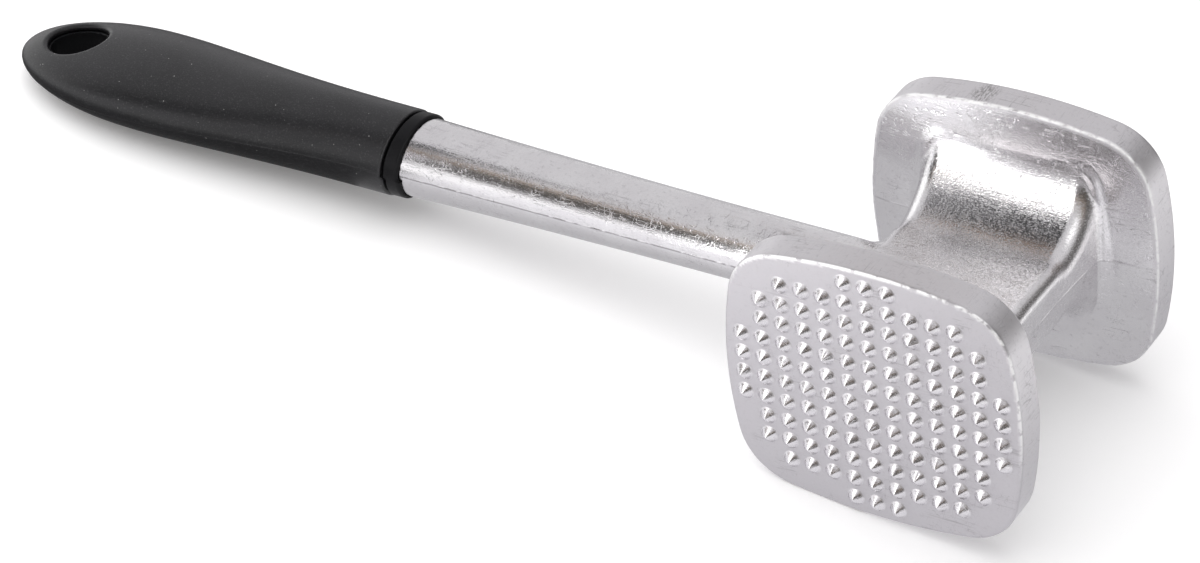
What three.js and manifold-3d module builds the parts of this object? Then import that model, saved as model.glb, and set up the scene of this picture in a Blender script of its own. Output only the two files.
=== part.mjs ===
// Meat mallet: a cast aluminium head and shaft with a two-part black handle. Millimetres.
// Everything is drawn along the shaft: X runs along it towards the head, Y is the striking direction and Z
// is the height of the plates, with zero at the centre of the head. The last section lays the mallet down
// on the rims of its plates and the rear of its grip, as it rests on a table.
import * as THREE from 'three';
import { mergeVertices } from 'three/addons/utils/BufferGeometryUtils.js';
import Module from 'manifold-3d';

const wasm = await Module();
wasm.setup();

// ---- driving dimensions ----
const gap = 0.3; // clearance between pieces that touch
const overlap = 0.3; // how far a solid runs into another that it is joined to

const faceSpan = 65.7; // from one striking face to the other
const plate = {
  halfLength: 30.8,
  halfHeight: 28.2,
  thickness: 8.3,
  corner: 12.3,
  endBulge: 90, // radius of the two edges that cross the shaft direction
  sideBulge: 112, // radius of the two edges that run along it
  edge: 0.6,
};
const pad = { halfLength: 20.8, halfHeight: 20.2, raise: 0.5, edge: 0.4 };
const waist = {
  halfLength: 17.9,
  halfHeight: 6.8,
  lengthFlare: 0.002, // growth of the half length with the square of the distance from the middle
  flatHalfSpan: 9.5, // the top and underside are flat this far from the middle
  saddleRadius: 15, // and from there rise to each pad in an arc
};
const square = 8; // how square the sections of the waist and the pads are; 2 would be an ellipse
const shaft = { radius: 7.2, endHalfWidth: 7.9, endHalfHeight: 8.7, end: -121.3, swellStart: -45 };
// where the shaft widens into the waist, and how far under the waist's top it ends
const shaftFillet = { start: -15, length: 7, height: 5, sink: 0.1 };
const tang = {
  radius: 5.2,
  end: -189,
  buried: 8, // how far it runs into the shaft
  chamfer: 1,
  notchDepth: 1.4,
  notchWidth: 5,
  notches: [-136, -176],
};

const spike = { pitch: 4.5, radius: 1.35, height: 1.5, sides: 6 };
const spikesPerRow = [3, 9, 11, 11, 13, 13, 13, 13, 11, 11, 9, 3]; // from the top row down
const tooth = { pitch: 8.4, width: 7, height: 3.5, columns: 6, rows: 5 };

const collar = { halfWidth: 8.8, halfHeight: 9.3, length: 2.8, edge: 0.6 };
const groove = 0.5; // width of the line between the collar and the soft cover
const slant = { y: 0.08, z: 0.185, reach: 40 }; // how far off square the handle's front is cut, and its fade
const grip = {
  frontHalfWidth: 9.1,
  frontHalfHeight: 9.5,
  bellyHalfWidth: 14.4,
  bellyHalfHeight: 8.1,
  bellyX: -192,
  shoulderX: -180, // where the thickness starts to fall away
  tipX: -222.8,
  planRound: 0.51, // how the width closes at the rear end
  sideRound: 0.54, // how the thickness closes there
  tipRise: 1.7,
  cap: 0.4, // the outside ends in a small flat cap this far short of the tip
};
const skin = 2; // thickness of the soft cover
const coreRear = 3.2; // how far short of the tip the core ends, and under it the cover's inside
const coverInsideRear = 3;
const hole = { x: -208.4, halfLength: 6.6, halfWidth: 5.4, lip: 0.5, plugLength: 60 };

// ---- solids and booleans ----
function toSolid(geometry) {
  const bare = geometry.clone();
  for (const name of Object.keys(bare.attributes)) {
    if (name !== 'position') bare.deleteAttribute(name);
  }
  const merged = mergeVertices(bare, 1e-4);
  return new wasm.Manifold(new wasm.Mesh({
    numProp: 3,
    vertProperties: new Float32Array(merged.attributes.position.array),
    triVerts: new Uint32Array(merged.index.array),
  }));
}

function toGeometry(solid) {
  const { vertProperties, triVerts } = solid.getMesh();
  const geometry = new THREE.BufferGeometry();
  geometry.setAttribute('position', new THREE.BufferAttribute(vertProperties, 3));
  geometry.setIndex(new THREE.BufferAttribute(triVerts, 1));
  geometry.computeVertexNormals();
  return geometry;
}

const joined = (solids) => solids.reduce((sum, solid) => sum.add(solid));
const ease = (t) => (1 - Math.cos(Math.PI * t)) / 2;
const fraction = (value, from, to) => THREE.MathUtils.clamp((value - from) / (to - from), 0, 1);

// A cylinder with its rings pulled onto sections: place(step, angle) is a point of the skin, with the
// steps numbered from one end to the other. Each end is closed by a fan round the middle of its ring.
function sweep(steps, sides, place) {
  const geometry = new THREE.CylinderGeometry(1, 1, steps, sides, steps);
  const position = geometry.attributes.position;
  const onSide = (step, side) => place(step, (side / sides) * 2 * Math.PI);
  const middle = (step) => {
    const sum = new THREE.Vector3();
    for (let side = 0; side < sides; side += 1) sum.add(onSide(step, side));
    return sum.divideScalar(sides);
  };
  for (let i = 0; i < position.count; i += 1) {
    const step = Math.round(position.getY(i) + steps / 2);
    const turn = Math.atan2(position.getX(i), position.getZ(i)) / (2 * Math.PI);
    const side = (Math.round(turn * sides) + sides) % sides;
    const onSkin = Math.hypot(position.getX(i), position.getZ(i)) > 0.5;
    const point = onSkin ? onSide(step, side) : middle(step);
    position.setXYZ(i, point.x, point.y, point.z);
  }
  return toSolid(geometry);
}

const power = (value, exponent) => Math.sign(value) * Math.abs(value) ** exponent;

// A sweep along Y of rounded rectangles. Each station has y, length and height.
function sweepAlongY(stations, sides) {
  return sweep(stations.length - 1, sides, (step, angle) => {
    const { y, length, height } = stations[step];
    return new THREE.Vector3(
      length * power(Math.sin(angle), 2 / square),
      y,
      height * power(Math.cos(angle), 2 / square),
    );
  });
}

// A sweep along X of ellipses. Each station has x, width, height, and may have lift, which raises it, and
// lean, which turns it off square by that share of the handle's slant.
function sweepAlongX(stations, sides) {
  return sweep(stations.length - 1, sides, (step, angle) => {
    const { x, width, height, lift = 0, lean = 0 } = stations[step];
    const y = -width * Math.sin(angle);
    const z = lift + height * Math.cos(angle);
    return new THREE.Vector3(x + lean * (slant.y * y + slant.z * z), y, z);
  });
}

// ---- the plates ----
// A rectangle with bulging edges, and round corners that are tangent to both edges they join.
function plateOutline(halfLength, halfHeight, corner) {
  const endMiddle = halfLength - plate.endBulge;
  const sideMiddle = halfHeight - plate.sideBulge;
  const toEnd = plate.endBulge - corner;
  const toSide = plate.sideBulge - corner;
  const span = Math.hypot(endMiddle, sideMiddle);
  const along = (toEnd ** 2 - toSide ** 2 + span ** 2) / (2 * span);
  const across = Math.sqrt(toEnd ** 2 - along ** 2);
  const cornerX = endMiddle + (along * -endMiddle - across * sideMiddle) / span;
  const cornerZ = (along * sideMiddle - across * endMiddle) / span;
  const endAngle = Math.atan2(cornerZ, cornerX - endMiddle);
  const sideAngle = Math.atan2(cornerX, cornerZ - sideMiddle);
  const right = Math.PI / 2;
  const shape = new THREE.Shape();
  for (let quarter = 0; quarter < 4; quarter += 1) {
    const turn = quarter * right;
    const onEnd = quarter % 2 === 0;
    const middle = onEnd ? endMiddle : sideMiddle;
    const bulge = onEnd ? plate.endBulge : plate.sideBulge;
    const before = onEnd ? endAngle : sideAngle;
    const after = onEnd ? sideAngle : endAngle;
    const signX = quarter === 0 || quarter === 3 ? 1 : -1;
    const signZ = quarter < 2 ? 1 : -1;
    shape.absarc(middle * Math.cos(turn), middle * Math.sin(turn), bulge, turn - before, turn + before);
    shape.absarc(signX * cornerX, signZ * cornerZ, corner, turn + before, turn + right - after);
  }
  return shape;
}

function plateSolid(side) {
  const { halfLength, halfHeight, thickness, corner, edge } = plate;
  const outline = plateOutline(halfLength - edge, halfHeight - edge, corner - edge);
  const geometry = new THREE.ExtrudeGeometry(outline, {
    depth: thickness - 2 * edge,
    curveSegments: 6,
    bevelSize: edge,
    bevelThickness: edge,
    bevelSegments: 1,
  });
  geometry.translate(0, 0, faceSpan / 2 - thickness + edge);
  geometry.rotateX((side * -Math.PI) / 2);
  return toSolid(geometry);
}

// ---- the waist between the plates, with the raised pad it stands on at each plate ----
function waistSolid() {
  const padFace = faceSpan / 2 - plate.thickness - pad.raise;
  const section = (y, rise) => ({
    y,
    length: waist.halfLength + waist.lengthFlare * y ** 2,
    height: waist.halfHeight + rise,
  });
  const half = [section(0, 0), section(waist.flatHalfSpan / 2, 0), section(waist.flatHalfSpan, 0)];
  const arcSteps = 8;
  const arcEnd = Math.asin((padFace - waist.flatHalfSpan) / waist.saddleRadius);
  for (let step = 1; step <= arcSteps; step += 1) {
    const angle = (arcEnd * step) / arcSteps;
    const y = waist.flatHalfSpan + waist.saddleRadius * Math.sin(angle);
    half.push(section(y, waist.saddleRadius * (1 - Math.cos(angle))));
  }
  const padSection = (depth, inset) => ({
    y: padFace + depth,
    length: pad.halfLength - inset,
    height: pad.halfHeight - inset,
  });
  const facet = 0.05; // the pad's face is this far off flat, so that no two sections lie in one plane
  half.push(padSection(facet, pad.edge), padSection(pad.edge, 0), padSection(pad.raise + overlap, 0));
  const mirrored = half.slice(1).reverse().map((station) => ({ ...station, y: -station.y }));
  return sweepAlongY([...mirrored, ...half], 40);
}

// ---- the shaft and the tang inside the handle ----
function shaftSolid() {
  const stations = [];
  const steps = 10;
  for (let i = 0; i <= steps; i += 1) {
    const t = i / steps;
    const x = shaft.end + (shaft.swellStart - shaft.end) * t;
    const swell = (1 - t) ** 1.5;
    stations.push({
      x,
      width: shaft.radius + (shaft.endHalfWidth - shaft.radius) * swell,
      height: shaft.radius + (shaft.endHalfHeight - shaft.radius) * swell,
      lean: (1 - t) ** 4,
    });
  }
  const filletSteps = 5;
  for (let i = 0; i <= filletSteps; i += 1) {
    const t = 1 - i / filletSteps;
    stations.push({
      x: shaftFillet.start - shaftFillet.length * t,
      width: shaft.radius + shaftFillet.height * (1 - t) ** 2,
      height: shaft.radius - (shaft.radius - waist.halfHeight + shaftFillet.sink) * ease(1 - t),
    });
  }
  stations.push({ x: 0, width: shaft.radius, height: waist.halfHeight - overlap });
  return sweepAlongX(stations, 24);
}

function tangSolid(radius, end) {
  const rear = { x: end, width: radius - tang.chamfer, height: radius - tang.chamfer };
  const shoulder = { x: end + tang.chamfer, width: radius, height: radius };
  return sweepAlongX([rear, shoulder, { x: shaft.end + tang.buried, width: radius, height: radius }], 16);
}

// A pair of slots across the top and underside of the tang, which the handle core's plastic fills.
function tangNotches(extra) {
  const depth = tang.radius;
  return joined(tang.notches.flatMap((x) => [1, -1].map((side) => {
    const width = tang.notchWidth + 2 * extra;
    const slot = new THREE.BoxGeometry(width, 4 * tang.radius, depth);
    slot.translate(x, 0, side * (tang.radius - tang.notchDepth + depth / 2 - extra));
    return toSolid(slot);
  })));
}

// ---- the striking faces ----
function spikeSolids() {
  const cone = new THREE.ConeGeometry(spike.radius, spike.height + overlap, spike.sides);
  cone.rotateX(Math.PI);
  const rows = spikesPerRow.length;
  return spikesPerRow.flatMap((count, row) => Array.from({ length: count }, (_, column) => {
    const x = (column - (count - 1) / 2) * spike.pitch;
    const z = ((rows - 1) / 2 - row) * spike.pitch;
    return toSolid(cone.clone().translate(x, -faceSpan / 2 - (spike.height - overlap) / 2, z));
  }));
}

function toothSolids() {
  const pyramid = new THREE.ConeGeometry(tooth.width / Math.SQRT2, tooth.height + overlap, 4);
  pyramid.rotateY(Math.PI / 4);
  const teeth = [];
  for (let column = 0; column < tooth.columns; column += 1) {
    for (let row = 0; row < tooth.rows; row += 1) {
      const x = (column - (tooth.columns - 1) / 2) * tooth.pitch;
      const z = (row - (tooth.rows - 1) / 2) * tooth.pitch;
      teeth.push(toSolid(pyramid.clone().translate(x, faceSpan / 2 + (tooth.height - overlap) / 2, z)));
    }
  }
  return teeth;
}

function castingSolid() {
  const tangBody = tangSolid(tang.radius, tang.end).subtract(tangNotches(0));
  const body = [plateSolid(1), plateSolid(-1), waistSolid(), shaftSolid(), tangBody];
  return joined([...body, ...spikeSolids(), ...toothSolids()]);
}

// ---- the handle ----
const collarRear = shaft.end - gap - collar.length;
const gripFront = collarRear - groove;

// A section of the grip's outside, or of the same shape a depth under it.
function gripSection(x, depth) {
  const swell = ease(fraction(x, gripFront, grip.bellyX));
  const thin = ease(fraction(x, gripFront, grip.shoulderX));
  const planClose = 1 - fraction(x, grip.bellyX, grip.tipX) ** 2;
  const sideClose = 1 - fraction(x, grip.shoulderX, grip.tipX) ** 2;
  const width = grip.frontHalfWidth + (grip.bellyHalfWidth - grip.frontHalfWidth) * swell;
  const height = grip.frontHalfHeight + (grip.bellyHalfHeight - grip.frontHalfHeight) * thin;
  return {
    x,
    width: width * planClose ** grip.planRound - depth,
    height: height * sideClose ** grip.sideRound - depth,
    lift: grip.tipRise * fraction(x, gripFront, grip.tipX) ** 2,
    lean: 1 - ease(fraction(x, gripFront, gripFront - slant.reach)),
  };
}

// The grip's shape from a front position back to where it has closed to a small rear cap.
function gripBody(front, rear, depth) {
  const steps = 20;
  const stations = [];
  for (let i = 0; i <= steps; i += 1) {
    const t = (1 - i / steps) ** 1.7;
    stations.push(gripSection(rear + (front - rear) * (1 - t), depth));
  }
  return sweepAlongX(stations, 28);
}

// An upright plug of the hang hole's outline, larger by a margin.
function holePlug(margin) {
  const plug = new THREE.CylinderGeometry(1, 1, hole.plugLength, 28);
  plug.rotateX(Math.PI / 2);
  plug.scale(hole.halfLength + margin, hole.halfWidth + margin, 1);
  plug.translate(hole.x, 0, 0);
  return toSolid(plug);
}

function handleCoreSolid() {
  const front = shaft.end - gap;
  const ring = (x, inset) => ({
    x,
    width: collar.halfWidth - inset,
    height: collar.halfHeight - inset,
    lean: 1,
  });
  const flange = sweepAlongX([
    ring(collarRear, collar.edge / 2),
    ring(collarRear + collar.edge / 2, 0),
    ring(front - collar.edge, 0),
    ring(front, collar.edge / 2),
  ], 28);
  const body = gripBody(collarRear + collar.edge, grip.tipX + coreRear, skin);
  const bore = tangSolid(tang.radius + gap, tang.end - gap).subtract(tangNotches(-gap));
  return flange.add(body).subtract(bore).subtract(holePlug(0));
}

function softGripSolid() {
  const outside = gripBody(gripFront, grip.tipX + grip.cap, 0);
  const inside = gripBody(gripFront + skin, grip.tipX + coverInsideRear, skin - gap);
  return outside.subtract(inside).subtract(holePlug(hole.lip));
}

// ---- materials ----
const aluminium = new THREE.MeshStandardMaterial({ color: 0xcac8cd, roughness: 0.35, metalness: 1 });
const hardPlastic = new THREE.MeshStandardMaterial({ color: 0x252528, roughness: 0.5, metalness: 0 });
const softRubber = new THREE.MeshStandardMaterial({ color: 0x39393c, roughness: 0.75, metalness: 0 });

function named(name, solid, material) {
  const mesh = new THREE.Mesh(toGeometry(solid), material);
  mesh.name = name;
  return mesh;
}

// ---- the assembly, and how it lies on the table ----
const casting = named('head_and_shaft_casting', castingSolid(), aluminium);
const core = named('handle_core', handleCoreSolid(), hardPlastic);
const cover = named('soft_grip_cover', softGripSolid(), softRubber);

function lowest(mesh, tilt) {
  const position = mesh.geometry.attributes.position;
  let low = Infinity;
  for (let i = 0; i < position.count; i += 1) {
    low = Math.min(low, position.getX(i) * Math.sin(tilt) + position.getZ(i) * Math.cos(tilt));
  }
  return low;
}

// The tilt at which the plates and the grip touch the table together.
function restTilt() {
  let [flat, steep] = [0, Math.PI / 12];
  for (let i = 0; i < 40; i += 1) {
    const tilt = (flat + steep) / 2;
    if (lowest(cover, tilt) > lowest(casting, tilt)) flat = tilt;
    else steep = tilt;
  }
  return flat;
}

const lying = new THREE.Group();
lying.rotation.y = -restTilt();
lying.add(casting, core, cover);

const mallet = new THREE.Group();
mallet.add(lying);
mallet.updateMatrixWorld(true);
const bounds = new THREE.Box3().setFromObject(mallet, true);
const middle = bounds.getCenter(new THREE.Vector3());
lying.position.set(-middle.x, -middle.y, -bounds.min.z);

export default mallet;
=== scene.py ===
"""Looks of the meat mallet: the aluminium casting, the handle core and the soft grip cover.

Shapes are worked out in millimetres in the shaft's own frame: X along the shaft towards the head, Y the
striking direction (the studded face is at -Y) and Z the height of the plates, from the centre of the head.
Each piece is a signed distance, negative inside, meshed by a surface net whose vertices are then moved
onto the exact surface. LAY puts that frame into the row frame, in metres.
"""

import math

import bpy
import numpy as np
from mathutils import Matrix, Vector
from mathutils.geometry import delaunay_2d_cdt


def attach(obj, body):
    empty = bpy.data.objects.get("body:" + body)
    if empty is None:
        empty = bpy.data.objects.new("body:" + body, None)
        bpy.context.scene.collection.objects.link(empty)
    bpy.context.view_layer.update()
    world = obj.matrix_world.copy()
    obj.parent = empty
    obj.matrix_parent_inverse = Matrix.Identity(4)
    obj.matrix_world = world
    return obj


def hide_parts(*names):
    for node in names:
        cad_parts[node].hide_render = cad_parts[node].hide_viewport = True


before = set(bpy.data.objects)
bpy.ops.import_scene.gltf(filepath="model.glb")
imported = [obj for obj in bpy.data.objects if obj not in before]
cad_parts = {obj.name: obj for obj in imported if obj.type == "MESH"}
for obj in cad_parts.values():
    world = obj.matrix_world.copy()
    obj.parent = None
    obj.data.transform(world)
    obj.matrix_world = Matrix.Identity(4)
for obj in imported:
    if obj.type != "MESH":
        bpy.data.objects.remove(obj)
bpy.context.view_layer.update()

MM = 0.001
rng = np.random.default_rng(7)

# ---- sizes, in millimetres: the main ones repeat the CAD's, the roundings and fillets are only here ----
# the two plates
FACE = 32.85  # from the middle of the head to a striking face
PLATE = {"half_length": 30.8, "half_height": 28.2, "end_bulge": 90.0, "side_bulge": 112.0, "corner": 12.3}
FACE_ROUNDING = 0.55
INNER_FACE = 24.4  # from the middle of the head to a plate's inner face
INNER_DRAFT = 0.015  # how far the inner face leans outward, per millimetre of height
INNER_ROUNDING = 0.3
EDGE_THINNING = 0.8  # how much thinner a plate is at its rim than in its middle
THINNING_WIDTH = 11.0

# the raised pad on a plate's inner face
PAD = {"half_length": 20.8, "half_height": 20.2, "end_bulge": 70.0, "side_bulge": 300.0, "corner": 4.5}
PAD_RAISE = 0.6
PAD_SLOPE = 1.3  # half the width of the slope along its outline
PAD_FADE = (12, 18)  # it rises from nothing to its whole height between these distances along X

# the waist, which is flat in the middle and rises to each pad in a circular arc
WAIST_HALF_LENGTH = 17.9
WAIST_FLARE = 0.002
WAIST_DRAFT = 0.03
WAIST_HALF_HEIGHT = 6.8
WAIST_FLAT = 9.5
WAIST_CORNER = 2.6
WAIST_CORNER_GAIN = 1.4  # how much rounder its corners are on the arcs
WAIST_CORNER_SPAN = (8, 13)
WAIST_TOP = 19.6
WAIST_REACH = 26.0  # it ends this far from the middle, inside the plates
SADDLE_RADIUS = 15.45
PAD_FILLET = 0.9
PAD_FILLET_LOSS = 0.65  # how much smaller that fillet is at the top of the arcs
PAD_FILLET_SPAN = (12, 17)

# the shaft and the tang
SHAFT_RADIUS = 7.2
SHAFT_END = -121.3  # where the tang begins
SHAFT_IN_HEAD = -2.0
SHOULDER_ROUNDING = 0.4
SWELL_START = -45.0  # from here to the handle the shaft grows into an upright ellipse
SWELL_POWER = 1.5
SWELL_WIDTH = 0.7
SWELL_HEIGHT = 1.5
DIVE = 0.6  # how much flatter the shaft is where it meets the waist
DIVE_SPAN = (-24, -12)
SHAFT_FILLET = 0.3  # between shaft and waist, at the top and bottom of the waist
SHAFT_FILLET_GAIN = 4.6  # how much larger it is at the sides of the shaft
FILLET_HALF_HEIGHT = 7.0
TANG_RADIUS = 5.2
TANG_END = -189.0
TANG_IN_SHAFT = -60.0
NOTCHES = (-136, -176)
NOTCH_HALF_WIDTH = 2.5
NOTCH_DEPTH = 1.4
FLASH_HEIGHT = 0.09
FLASH_HALF_WIDTH = 0.16

# the studs and the teeth
STUD_PITCH = 4.5
STUD_HEIGHT = 1.5
STUD_ROWS = [3, 9, 11, 11, 13, 13, 13, 13, 11, 11, 9, 3]
# radius and height of a stud from its skirt to its tip
STUD_PROFILE = [(1.98, 0.0), (1.84, 0.04), (1.7, 0.16), (1.56, 0.33),
                (1.06, 0.78), (0.5, 1.25), (0.16, 1.46)]
STUD_SIDES = 26
STUD_LEAN = 0.05  # the tips stray by about this much
STUD_UNEVENNESS = 0.03
FLUTE_COUNTS = (3, 5, 7, 9, 11)
TOOTH_PITCH = 8.4
TOOTH_COLUMNS = 6
TOOTH_ROWS = 5
# half width and height of a tooth from its foot to its blunt tip
TOOTH_PROFILE = [(3.5, 0.0), (3.32, 0.12), (0.32, 3.38), (0.14, 3.5)]
TOOTH_BEVEL = 0.35

# the handle, whose front is cut on a slant
COLLAR_REAR = -124.4
COLLAR_HALF_WIDTH = 8.8
COLLAR_HALF_HEIGHT = 9.3
COLLAR_OVERLAP = 0.35  # how far the ring stands over the shaft's end
GRIP_FRONT = -124.9
GRIP_TIP = -222.8
BELLY_X = -192.0  # where the grip is widest
SHOULDER_X = -180.0  # where it is thinnest before its tip
GRIP_HALF_WIDTH = 9.1
BELLY_GAIN = 5.3
GRIP_HALF_HEIGHT = 9.5
SHOULDER_LOSS = 1.4
TIP_LIFT = 1.7
PLAN_POWER = 0.51
SIDE_POWER = 0.54
SLANT_Y = 0.08
SLANT_Z = 0.185
SLANT_REACH = 40.0
STEP = 0.7  # the small step in the handle's front, low on the near side
SKIN = 2.0  # thickness of the soft cover
CLEARANCE = 0.3
SHAFT_CLEARANCE = 0.05
HOLE_X = -208.4
HOLE_HALF_LENGTH = 6.6
HOLE_HALF_WIDTH = 5.4
HOLE_LIP = 0.5  # the cover stands back this far from the core's wall of the hole
HOLE_ROUNDING = 1.1
FRONT_ROUNDING = 0.45
SEAM_HEIGHT = 0.05
SEAM_Z = 0.2


# ---- placement: the shaft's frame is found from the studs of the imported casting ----
def find_placement():
    """The matrix from the shaft's frame to the row frame, read from the stud tips of the CAD casting."""
    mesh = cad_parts["head_and_shaft_casting"].data
    co = np.zeros(len(mesh.vertices) * 3)
    mesh.vertices.foreach_get("co", co)
    co = co.reshape(-1, 3)
    tips = np.unique(co[co[:, 1] < co[:, 1].min() + 1e-5].round(6), axis=0)
    middle = tips.mean(0)
    spread = np.cov((tips - middle)[:, [0, 2]].T)
    tilt = 0.5 * math.atan2(2 * spread[0, 1], spread[0, 0] - spread[1, 1])
    middle[1] += (FACE + STUD_HEIGHT) * MM
    return Matrix.Translation(Vector(middle)) @ Matrix.Rotation(-tilt, 4, "Y")


LAY = find_placement()


# ---- signed distances ----
def round_and(a, b, radius):
    """Both of two shapes, with the edge where they meet rounded."""
    u = np.maximum(a + radius, 0)
    v = np.maximum(b + radius, 0)
    return np.minimum(np.maximum(a, b), -radius) + np.hypot(u, v)


def round_or(a, b, radius):
    """Either of two shapes, with a fillet where they meet."""
    u = np.maximum(radius - a, 0)
    v = np.maximum(radius - b, 0)
    return np.maximum(np.minimum(a, b), radius) - np.hypot(u, v)


def ease(t):
    """From 0 to 1 as t goes from 0 to 1, level at both ends."""
    return (1 - np.cos(np.pi * t)) / 2


def fraction(value, start, end):
    """How far a value is on the way from start to end, from 0 to 1."""
    return np.clip((value - start) / (end - start), 0, 1)


def ellipse(a, b, half_a, half_b):
    """Nearly the distance to an ellipse."""
    near = np.hypot(a / half_a, b / half_b)
    steep = np.hypot(a / half_a**2, b / half_b**2)
    return near * (near - 1) / np.maximum(steep, 1e-6)


def bulged_rectangle(x, z, half_length, half_height, end_bulge, side_bulge, corner):
    """A rectangle with bulging edges, and round corners tangent to both edges they join."""
    x = np.abs(x)
    z = np.abs(z)
    end_mid = half_length - end_bulge
    side_mid = half_height - side_bulge
    to_end = end_bulge - corner
    to_side = side_bulge - corner
    span = math.hypot(end_mid, side_mid)
    along = (to_end**2 - to_side**2 + span**2) / (2 * span)
    across = math.sqrt(to_end**2 - along**2)
    corner_x = end_mid + (along * -end_mid - across * side_mid) / span
    corner_z = (along * side_mid - across * end_mid) / span
    on_end = np.hypot(x - end_mid, z) - end_bulge
    on_side = np.hypot(x, z - side_mid) - side_bulge
    u = x - corner_x
    v = z - corner_z
    after_end = (corner_x - end_mid) * v - corner_z * u > 0
    before_side = u * (corner_z - side_mid) - v * corner_x > 0
    return np.where(after_end & before_side, np.hypot(u, v) - corner, np.maximum(on_end, on_side))


def wander(a, b, seed, pieces=5, scale=0.35):
    """A smooth random field between about -1 and 1, from a few sine waves."""
    waves = np.random.default_rng(seed)
    total = 0
    for _ in range(pieces):
        turn = waves.uniform(0, 2 * math.pi)
        pitch = scale * waves.uniform(0.5, 2.5)
        total = total + np.sin(pitch * (math.cos(turn) * a + math.sin(turn) * b) + waves.uniform(0, 6.28))
    return total / math.sqrt(pieces)


def head_field(x, y, z):
    """The two plates, each with its raised pad."""
    q = np.abs(y)
    outline = bulged_rectangle(x, z, **PLATE)
    on_pad = ease(fraction(bulged_rectangle(x, z, **PAD), PAD_SLOPE, -PAD_SLOPE))
    raised = PAD_RAISE * on_pad * fraction(np.abs(x), *PAD_FADE)
    thinning = EDGE_THINNING * fraction(outline, -THINNING_WIDTH, 0) ** 2
    inner_face = INNER_FACE + INNER_DRAFT * np.abs(z) - raised + thinning
    plate = round_and(outline, q - FACE, FACE_ROUNDING)
    return round_and(plate, inner_face - q, INNER_ROUNDING)


def waist_field(x, y, z):
    """The block between the plates."""
    q = np.abs(y)
    tall = np.abs(z)
    length = WAIST_HALF_LENGTH + WAIST_FLARE * q**2 - WAIST_DRAFT * tall
    arc_middle = WAIST_HALF_HEIGHT + SADDLE_RADIUS
    on_arc = SADDLE_RADIUS - np.hypot(q - WAIST_FLAT, arc_middle - tall)
    rising = np.where(tall > arc_middle, WAIST_FLAT + SADDLE_RADIUS - q, on_arc)
    top = np.where(q > WAIST_FLAT, rising, tall - WAIST_HALF_HEIGHT)
    end = np.abs(x) - length
    corner = WAIST_CORNER + WAIST_CORNER_GAIN * ease(fraction(q, *WAIST_CORNER_SPAN))
    block = round_and(top, end, corner)
    return np.maximum(np.maximum(block, tall - WAIST_TOP), q - WAIST_REACH)


def slanted(x, y, z):
    """Position along the shaft, measured along the slanted cut of the handle's front."""
    return x - SLANT_Y * y - SLANT_Z * z


def shaft_field(x, y, z):
    """The shaft, up to the shoulder inside the handle's ring."""
    swell = (1 - fraction(x, SHAFT_END, SWELL_START)) ** SWELL_POWER
    dive = DIVE * ease(fraction(x, *DIVE_SPAN))
    rod = ellipse(y, z, SHAFT_RADIUS + SWELL_WIDTH * swell, SHAFT_RADIUS + SWELL_HEIGHT * swell - dive)
    shoulder = SHAFT_END - slanted(x, y, z)
    return np.maximum(np.maximum(rod, x - SHAFT_IN_HEAD), round_and(rod, shoulder, SHOULDER_ROUNDING))


def tang_field(x, y, z):
    """The tang inside the handle, with its two pairs of slots."""
    rod = np.hypot(y, z) - TANG_RADIUS
    for notch in NOTCHES:
        slot = np.maximum(np.abs(x - notch) - NOTCH_HALF_WIDTH, TANG_RADIUS - NOTCH_DEPTH - np.abs(z))
        rod = np.maximum(rod, -slot)
    return np.maximum(np.maximum(rod, TANG_END - x), x - TANG_IN_SHAFT)


def casting_field(x, y, z):
    """Plates, waist, shaft and tang in one, with the flash left where the halves of the die met."""
    beside = np.clip(1 - (z / FILLET_HALF_HEIGHT) ** 2, 0, 1)
    shaft_fillet = SHAFT_FILLET + SHAFT_FILLET_GAIN * beside
    body = round_or(waist_field(x, y, z), shaft_field(x, y, z), shaft_fillet)
    body = np.minimum(body, tang_field(x, y, z))
    pad_fillet = PAD_FILLET - PAD_FILLET_LOSS * fraction(np.abs(z), *PAD_FILLET_SPAN)
    whole = round_or(head_field(x, y, z), body, pad_fillet)
    uneven = 0.65 + 0.35 * wander(x, y, 3, scale=0.9)
    flash = FLASH_HEIGHT * np.exp(-((z / FLASH_HALF_WIDTH) ** 2)) * uneven
    on_rim = fraction(np.abs(y), 24.2, 25.0)
    return whole - flash * (1 - on_rim)


def grip_level(x, y, z):
    """Zero on the grip's outside, negative inside; not a distance."""
    level_x = x
    for _ in range(2):
        lean = 1 - ease(fraction(level_x, GRIP_FRONT, GRIP_FRONT - SLANT_REACH))
        level_x = x - lean * (SLANT_Y * y + SLANT_Z * z)
    width = GRIP_HALF_WIDTH + BELLY_GAIN * ease(fraction(level_x, GRIP_FRONT, BELLY_X))
    height = GRIP_HALF_HEIGHT - SHOULDER_LOSS * ease(fraction(level_x, GRIP_FRONT, SHOULDER_X))
    lift = TIP_LIFT * fraction(level_x, GRIP_FRONT, GRIP_TIP) ** 2
    plan = 1 - np.maximum(0, (BELLY_X - level_x) / (BELLY_X - GRIP_TIP)) ** 2
    side = 1 - np.maximum(0, (SHOULDER_X - level_x) / (SHOULDER_X - GRIP_TIP)) ** 2
    plan_safe = np.maximum(plan, 1e-3)
    side_safe = np.maximum(side, 1e-3)
    in_plan = (y / width) ** 2 * plan_safe ** (1 - 2 * PLAN_POWER)
    in_side = ((z - lift) / height) ** 2 * plan_safe / side_safe ** (2 * SIDE_POWER)
    return in_plan + in_side - plan


def grip_distance(x, y, z):
    """The grip's level, divided by its slope: nearly a distance close to the surface."""
    step = 0.05
    here = grip_level(x, y, z)
    gx = grip_level(x + step, y, z) - here
    gy = grip_level(x, y + step, z) - here
    gz = grip_level(x, y, z + step) - here
    steep = np.sqrt(gx**2 + gy**2 + gz**2) / step
    return here / np.maximum(steep, 0.06)


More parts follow.
